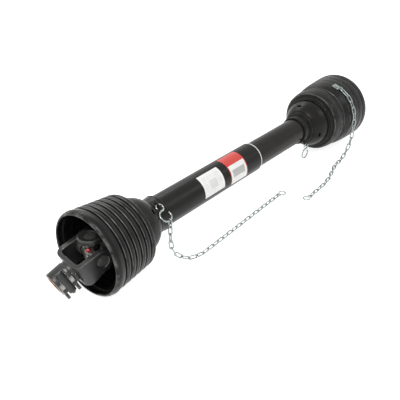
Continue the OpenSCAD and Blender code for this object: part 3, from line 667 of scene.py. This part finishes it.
def cone_outline(mouth, fold, swell):
    """(radius, distance from the mouth) round a cone's wall, as the CAD source has it."""
    length = SHOULDER + mouth
    step = (length - LIP) / RIBS
    at = lambda s: cone_radius(s, length, swell)
    points = [
        (CONE_R - 0.0070, 0.0), (CONE_R - 0.0046, 0.0002), (CONE_R - 0.0022, 0.0022),
        (CONE_R - 0.0007, 0.0060), (CONE_R, 0.0110), (at(LIP - 0.003), LIP - 0.003),
        (at(LIP) - 0.001, LIP - 0.001)]
    # the near cone's ribs are slightly crowned
    crown = CROWN if swell == NEAR_SWELL else 0.0
    low, high = FOLD_W + 0.001, step - 0.0022
    tops = [(crown * math.sin(math.pi * i / 6), low + (high - low) * i / 6) for i in range(1, 6)]
    for rib in range(RIBS):
        for sink, on in ((-fold, 0.0), (-fold, FOLD_W - 0.0012), (-0.001, FOLD_W - 0.0004),
                         (0.0, low), *(tops if crown else ()), (0.0, high),
                         (-0.001, step - 0.0008)):
            s = LIP + rib * step + on
            points.append((at(s) + sink, s))
    points += [
        (at(length) - 0.004, length), (DOME_R + COLLAR_T + 0.002, length + 0.002),
        (DOME_R + COLLAR_T, length + 0.003), (DOME_R + COLLAR_T, length + COLLAR - 0.0008),
        (DOME_R + COLLAR_T - 0.0008, length + COLLAR), (DOME_R + 0.0001, length + COLLAR),
        (DOME_R + 0.0001, length - WALL), (at(length) - WALL - 0.003, length - WALL)]
    # inside, the folds are only shallow waves, and the far yoke needs room to swing
    wave = fold * 0.2
    depth = fold + WALL if crown else WALL + FAR_SKIN
    for rib in range(RIBS - 1, -1, -1):
        last = WALL if rib == RIBS - 1 else 0.0
        for sink, on in ((wave, step - 0.0040 - last), (wave, FOLD_W + 0.0040),
                         (0.0, FOLD_W * 0.5)):
            s = LIP + rib * step + on
            points.append((at(s) + sink - depth, s))
    points += [(at(LIP) - depth + wave, LIP - 0.006), (CONE_R - depth, 0.014 if crown else 0.0115),
               (CONE_R - 0.0055, 0.0075), (CONE_R - 0.007, 0.0045)]
    return points


def ribbed_cone(mouth, fold, swell, mouth_x, way, rounding, steps):
    """A cone's closed outline, its corners rounded, spun once round the shaft's axis."""
    bm = bmesh.new()
    ring = [bm.verts.new((mouth_x + way * s, 0.0, AXIS_Z + r))
            for r, s in cone_outline(mouth, fold, swell)]
    for first, second in zip(ring, ring[1:] + ring[:1]):
        bm.edges.new((first, second))
    bmesh.ops.bevel(bm, geom=ring, offset=rounding, offset_type="OFFSET", segments=3, profile=0.5,
                    affect="VERTICES", clamp_overlap=True, material=-1)
    bmesh.ops.spin(bm, geom=bm.verts[:] + bm.edges[:], cent=(0, 0, AXIS_Z), axis=(1, 0, 0),
                   angle=math.tau, steps=steps, use_merge=True, use_duplicate=False)
    bmesh.ops.remove_doubles(bm, verts=bm.verts, dist=1e-6)
    bmesh.ops.recalc_face_normals(bm, faces=bm.faces)
    return bm


def skinned(node, grain, passes, share):
    """A closed copy of a CAD node's mesh in one even skin, its edges rounded."""
    bm = bmesh.new()
    bm.from_mesh(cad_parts[node].data)
    bmesh.ops.remove_doubles(bm, verts=bm.verts, dist=2e-6)
    mesh = bpy.data.meshes.new(f"{node}_blank")
    bm.to_mesh(mesh)
    bm.free()
    blank = bpy.data.objects.new(f"{node}_blank", mesh)
    bpy.context.scene.collection.objects.link(blank)
    remesh = blank.modifiers.new("skin", "REMESH")
    remesh.mode = "VOXEL"
    remesh.voxel_size = grain
    remesh.adaptivity = 0.0
    smooth = blank.modifiers.new("blast", "SMOOTH")
    smooth.factor = 0.5
    smooth.iterations = passes
    thin = blank.modifiers.new("thin", "DECIMATE")
    thin.ratio = share
    graph = bpy.context.evaluated_depsgraph_get()
    made = bpy.data.meshes.new_from_object(blank.evaluated_get(graph))
    bm = bmesh.new()
    bm.from_mesh(made)
    bpy.data.objects.remove(blank)
    return bm


def label_shell(x_from, x_to, low, high, thickness, corner):
    """A label bent round the guard tube between two angles up from the camera's side."""
    bm = bmesh.new()
    start = math.radians(low)
    row = []
    for share in (0.0, 0.25, 0.5, 0.75, 1.0):
        x = x_from + (x_to - x_from) * share
        row.append(bm.verts.new((x, -(TUBE_R + LABEL_GAP) * math.cos(start),
                                 AXIS_Z + (TUBE_R + LABEL_GAP) * math.sin(start))))
    for first, second in zip(row, row[1:]):
        bm.edges.new((first, second))
    bmesh.ops.spin(bm, geom=bm.verts[:] + bm.edges[:], cent=(0, 0, AXIS_Z), axis=(1, 0, 0),
                   angle=-math.radians(high - low), steps=LABEL_STEPS, use_merge=False,
                   use_duplicate=False)
    bmesh.ops.recalc_face_normals(bm, faces=bm.faces)
    if bm.faces[0].calc_center_median().y * bm.faces[0].normal.y < 0:
        bmesh.ops.reverse_faces(bm, faces=bm.faces)
    corners = [v for v in bm.verts if len(v.link_edges) == 2]
    bmesh.ops.bevel(bm, geom=corners, offset=corner, offset_type="OFFSET", segments=4, profile=0.5,
                    affect="VERTICES", clamp_overlap=True, material=-1)
    bmesh.ops.solidify(bm, geom=bm.faces[:], thickness=-thickness)
    bmesh.ops.recalc_face_normals(bm, faces=bm.faces)
    return bm


def coil_spring(place, wire, turns, length, radius):
    """A real coil: a disc of wire carried round and along the pin's axis, its ends closed."""
    bm = bmesh.new()
    made = bmesh.ops.create_circle(bm, cap_ends=False, segments=WIRE_SIDES, radius=wire / 2)
    stand = Matrix.Translation((radius, 0, wire / 2)) @ Matrix.Rotation(math.pi / 2, 4, "X")
    bmesh.ops.transform(bm, matrix=stand, verts=made["verts"])
    steps = COIL_STEPS * turns
    bmesh.ops.spin(bm, geom=bm.verts[:] + bm.edges[:], cent=(0, 0, 0), axis=(0, 0, 1),
                   dvec=(0, 0, (length - wire) / steps), angle=math.tau * turns, steps=steps,
                   use_merge=False, use_duplicate=False)
    bmesh.ops.holes_fill(bm, edges=[e for e in bm.edges if e.is_boundary], sides=16)
    bmesh.ops.recalc_face_normals(bm, faces=bm.faces)
    seat = Matrix.Translation((0, -PIN_OFF, PIN_SEAT))
    bmesh.ops.transform(bm, matrix=place @ PIN_TURN @ seat, verts=bm.verts)
    return bm


# ---------------------------------------------------------------- operators


class DRIVE_SHAFT_OT_cones(bpy.types.Operator):
    """Make both ribbed cones with rounded moulded edges"""

    bl_idname = "drive_shaft.cones"
    bl_label = "Ribbed Cones"

    def execute(self, context):
        cone = context.scene.shaft_cones
        dust = context.scene.shaft_guards.dust
        ends = (
            ("near", NEAR_MOUTH, cone.near_fold, NEAR_SWELL, NEAR_X - NEAR_MOUTH, 1),
            ("far", FAR_MOUTH, cone.far_fold, FAR_SWELL, FAR_X + FAR_MOUTH, -1))
        for end, mouth, fold, swell, mouth_x, way in ends:
            step = (SHOULDER + mouth - LIP) / RIBS
            finish = cone_plastic(f"{end}_cone_plastic", cone, dust, mouth_x, way, step, fold)
            bm = ribbed_cone(mouth, fold, swell, mouth_x, way, cone.rounding, cone.steps)
            piece_from(bm, f"{end}_ribbed_cone", f"{end}_guard", finish,
                       35, (f"{end}_bellows",))
        return {"FINISHED"}


class DRIVE_SHAFT_OT_guards(bpy.types.Operator):
    """Finish the guard tubes, the guard bases, the end ring and the bearing rings"""

    bl_idname = "drive_shaft.guards"
    bl_label = "Guard Tubes and Bases"

    def execute(self, context):
        guard = context.scene.shaft_guards
        outer = guard_plastic("outer_guard_plastic", guard.outer, guard.dust, 0.10, 0.75)
        inner = guard_plastic("inner_guard_plastic", guard.inner, guard.dust, 0.45, 0.55)
        near_base = guard_plastic("near_base_plastic", guard.outer, guard.dust, 0.05, 0.10)
        far_base = guard_plastic("far_base_plastic", guard.outer, guard.dust, 0.12, 0.10)
        give(outer, "near_guard_tube")
        give(inner, "far_guard_tube")
        give(pale_plastic("end_ring_plastic", guard.ring, 0.25, 0.34), "tube_end_ring")
        give(pale_plastic("bearing_nylon", (0.70, 0.68, 0.60), 0.35, 0.38),
             "near_bearing_ring", "far_bearing_ring")
        for end, finish in (("near", near_base), ("far", far_base)):
            piece_from(skinned(f"{end}_guard_base", *DOME_SKIN), f"{end}_guard_dome",
                       f"{end}_guard", finish, 60, (f"{end}_guard_base",))
        return {"FINISHED"}


class DRIVE_SHAFT_OT_labels(bpy.types.Operator):
    """Put the two plain labels on the near guard tube"""

    bl_idname = "drive_shaft.labels"
    bl_label = "Plain Labels"

    def execute(self, context):
        label = context.scene.shaft_labels
        for name, (x_from, x_to, low, high, corner, band_from, lined) in LABELS.items():
            finish = label_paper(f"{name}_print", label, (x_from + x_to) / 2, (x_to - x_from) / 2,
                                 band_from, lined)
            bm = label_shell(x_from, x_to, low, high, label.thickness, corner)
            piece_from(bm, name, "near_guard", finish, 50)
        return {"FINISHED"}


class DRIVE_SHAFT_OT_yokes(bpy.types.Operator):
    """Finish the forged quick-fit yokes and tube yokes"""

    bl_idname = "drive_shaft.yokes"
    bl_label = "Forged Yokes"

    def execute(self, context):
        steel = context.scene.shaft_steel
        root = forged_steel("tube_yoke_steel", steel, NEAR_YOKE_AT, False)
        for end, place in (("near", NEAR_YOKE_AT), ("far", FAR_YOKE_AT)):
            quick = forged_steel(f"{end}_yoke_steel", steel, place, True)
            piece_from(skinned(f"{end}_yoke", *YOKE_SKIN), f"{end}_forged_yoke",
                       f"{end}_yoke", quick, 70, (f"{end}_yoke",))
            piece_from(skinned(f"{end}_tube_yoke", *TUBE_YOKE_SKIN), f"{end}_forged_tube_yoke",
                       f"{end}_shaft", root, 70, (f"{end}_tube_yoke",))
        return {"FINISHED"}


class DRIVE_SHAFT_OT_crosses(bpy.types.Operator):
    """Finish the crosses with their cups, snap rings, seals, nipples and caps"""

    bl_idname = "drive_shaft.crosses"
    bl_label = "Crosses and Bearing Cups"

    def execute(self, context):
        steel = context.scene.shaft_steel
        turned = plain_steel("bearing_steel")
        black = plain_steel("black_steel")
        brass = plain_steel("nipple_steel")
        seals = seal_rubber("seal_rubber")
        caps = cap_plastic("grease_cap_plastic", steel.cap)
        for end in ("near", "far"):
            give(turned, f"{end}_cross", f"{end}_root_cups", f"{end}_yoke_cups")
            give(black, f"{end}_root_clips", f"{end}_yoke_clips", f"{end}_roll_pin")
            give(seals, f"{end}_cup_seals")
            give(brass, f"{end}_grease_nipple")
            give(caps, f"{end}_grease_cap")
        return {"FINISHED"}


class DRIVE_SHAFT_OT_pins(bpy.types.Operator):
    """Finish the push pins and make their coil springs"""

    bl_idname = "drive_shaft.pins"
    bl_label = "Push Pins and Springs"

    def execute(self, context):
        wire = context.scene.shaft_chains.spring_wire
        turns = context.scene.shaft_chains.spring_turns
        pins = plain_steel("pin_steel")
        rings = plain_steel("pin_ring_steel")
        coil = plain_steel("spring_steel")
        for end, place in (("near", NEAR_YOKE_AT), ("far", FAR_YOKE_AT)):
            give(pins, f"{end}_push_pin")
            give(rings, f"{end}_pin_ring")
            bm = coil_spring(place, wire, turns, SPRING_LEN, PIN_R - wire / 2 - SPRING_FIT)
            spring = piece_from(bm, f"{end}_coil_spring", f"{end}_yoke", coil,
                                60, (f"{end}_pin_spring",))
            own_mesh(spring)
        return {"FINISHED"}


class DRIVE_SHAFT_OT_tubes(bpy.types.Operator):
    """Finish the profile tubes that slide in each other"""

    bl_idname = "drive_shaft.tubes"
    bl_label = "Profile Tubes"

    def execute(self, context):
        give(plain_steel("tube_steel"), "outer_profile_tube", "inner_profile_tube")
        return {"FINISHED"}


class DRIVE_SHAFT_OT_chains(bpy.types.Operator):
    """Finish the chains, hooks, plate, rivet and screws"""

    bl_idname = "drive_shaft.chains"
    bl_label = "Chains and Screws"

    def execute(self, context):
        zinc = context.scene.shaft_chains.zinc
        give(zinc_steel("chain_zinc", zinc, 0.20, 0.45),
             "near_chain", "far_chain", "near_chain_hook", "far_chain_hook",
             "near_chain_end_hook", "far_chain_end_hook", "far_chain_loop")
        give(zinc_steel("plate_zinc", Vector(zinc) * 0.92, 0.27, 0.60),
             "far_chain_plate", "far_plate_rivet")
        give(plain_steel("screw_steel"), "near_guard_screws", "far_guard_screws")
        return {"FINISHED"}


class DRIVE_SHAFT_OT_studio(bpy.types.Operator):
    """Set up the pale floor, the soft lights and the camera"""

    bl_idname = "drive_shaft.studio"
    bl_label = "Studio"

    def execute(self, context):
        studio = context.scene.shaft_studio
        bm = bmesh.new()
        bmesh.ops.create_grid(bm, x_segments=1, y_segments=1, size=FLOOR_HALF)
        mesh = bpy.data.meshes.new("studio_floor")
        bm.to_mesh(mesh)
        bm.free()
        floor = bpy.data.objects.new("studio_floor", mesh)
        context.scene.collection.objects.link(floor)
        f = Finish("studio_floor")
        tone = f.noise(2.0, 2, 0.5)
        colour = f.mix(tone * 0.15, studio.floor, (0.90, 0.90, 0.90))
        mesh.materials.append(f.finish(Base_Color=colour, Roughness=0.9, Specular_IOR_Level=0.1,
                                       Emission_Color=WHITE, Emission_Strength=FLOOR_GLOW))
        # the camera and the reflections see the floor washed out, as on a white sweep
        glow = f.add("ShaderNodeEmission", {}, {"Color": WHITE, "Strength": FLOOR_GLOW})
        seen = Wire(f, shown_to(f.tree))
        none = f.add("ShaderNodeEmission", {}, {"Color": WHITE, "Strength": 0.0})
        extra = f.add("ShaderNodeMixShader", {}, {0: seen, 1: none, 2: glow})
        whole = f.add("ShaderNodeAddShader", {}, {0: extra, 1: Wire(f, f.shader.outputs["BSDF"])})
        f.tree.links.new(whole.socket, f.output.inputs["Surface"])

        world = bpy.data.worlds.new("studio_surround")
        context.scene.world = world
        world.use_nodes = True
        tree = world.node_tree
        tree.nodes.clear()
        out = tree.nodes.new("ShaderNodeOutputWorld")
        lit = tree.nodes.new("ShaderNodeBackground")
        shown = tree.nodes.new("ShaderNodeBackground")
        both = tree.nodes.new("ShaderNodeMixShader")
        lit.inputs["Color"].default_value = (*WHITE, 1.0)
        lit.inputs["Strength"].default_value = studio.sky
        shown.inputs["Color"].default_value = (*WHITE, 1.0)
        shown.inputs["Strength"].default_value = BACKDROP
        tree.links.new(shown_to(tree), both.inputs[0])
        tree.links.new(lit.outputs[0], both.inputs[1])
        tree.links.new(shown.outputs[0], both.inputs[2])
        tree.links.new(both.outputs[0], out.inputs["Surface"])

        lights = (
            ("key_light", (-1.25, -0.30, 1.85), 0.7, 0.7, studio.key),
            ("back_light", (0.55, 1.5, 1.5), 1.6, 0.5, studio.fill),
            ("far_end_light", (1.2, -1.2, 1.5), 0.7, 0.7, studio.fill * 0.35))
        for name, at, wide, high, power in lights:
            data = bpy.data.lights.new(name, "AREA")
            data.shape = "RECTANGLE"
            data.size = wide
            data.size_y = high
            data.energy = power
            light = bpy.data.objects.new(name, data)
            light.location = at
            light.rotation_euler = (LIGHT_AIM - Vector(at)).to_track_quat("-Z", "Y").to_euler()
            context.scene.collection.objects.link(light)

        lens = bpy.data.cameras.new("photo_camera")
        lens.lens = studio.lens
        lens.sensor_width = 36.0
        lens.clip_start = 0.01
        lens.clip_end = 50.0
        camera = bpy.data.objects.new("photo_camera", lens)
        camera.location = CAMERA_AT
        camera.rotation_euler = (math.radians(90 - CAMERA_DOWN), 0.0, math.radians(CAMERA_TURN))
        context.scene.collection.objects.link(camera)
        context.scene.camera = camera
        context.scene.view_settings.view_transform = "Standard"
        return {"FINISHED"}


class DRIVE_SHAFT_PT_panel(bpy.types.Panel):
    """Steps that build the drive shaft's looks"""

    bl_label = "Drive Shaft"
    bl_idname = "DRIVE_SHAFT_PT_panel"
    bl_space_type = "VIEW_3D"
    bl_region_type = "UI"
    bl_category = "Drive Shaft"

    def draw(self, context):
        column = self.layout.column(align=True)
        for operator in OPERATORS:
            column.operator(operator.bl_idname)
        for group, settings in GROUPS.items():
            box = self.layout.box()
            box.label(text=settings.__doc__)
            values = getattr(context.scene, group)
            for key in settings.__annotations__:
                box.prop(values, key)


GROUPS = {
    "shaft_cones": ConeSettings,
    "shaft_guards": GuardSettings,
    "shaft_labels": LabelSettings,
    "shaft_steel": SteelSettings,
    "shaft_chains": ChainSettings,
    "shaft_studio": StudioSettings,
}
OPERATORS = (
    DRIVE_SHAFT_OT_studio,
    DRIVE_SHAFT_OT_cones,
    DRIVE_SHAFT_OT_guards,
    DRIVE_SHAFT_OT_labels,
    DRIVE_SHAFT_OT_yokes,
    DRIVE_SHAFT_OT_crosses,
    DRIVE_SHAFT_OT_pins,
    DRIVE_SHAFT_OT_tubes,
    DRIVE_SHAFT_OT_chains,
)


def register():
    for settings in GROUPS.values():
        bpy.utils.register_class(settings)
    for name, settings in GROUPS.items():
        setattr(bpy.types.Scene, name, bpy.props.PointerProperty(type=settings))
    for operator in OPERATORS:
        bpy.utils.register_class(operator)
    bpy.utils.register_class(DRIVE_SHAFT_PT_panel)


def unregister():
    bpy.utils.unregister_class(DRIVE_SHAFT_PT_panel)
    for operator in reversed(OPERATORS):
        bpy.utils.unregister_class(operator)
    for name, settings in reversed(GROUPS.items()):
        delattr(bpy.types.Scene, name)
        bpy.utils.unregister_class(settings)


def main():
    register()
    bpy.ops.drive_shaft.studio()
    bpy.ops.drive_shaft.cones()
    bpy.ops.drive_shaft.guards()
    bpy.ops.drive_shaft.labels()
    bpy.ops.drive_shaft.yokes()
    bpy.ops.drive_shaft.crosses()
    bpy.ops.drive_shaft.pins()
    bpy.ops.drive_shaft.tubes()
    bpy.ops.drive_shaft.chains()


if __name__ == "__main__":
    main()
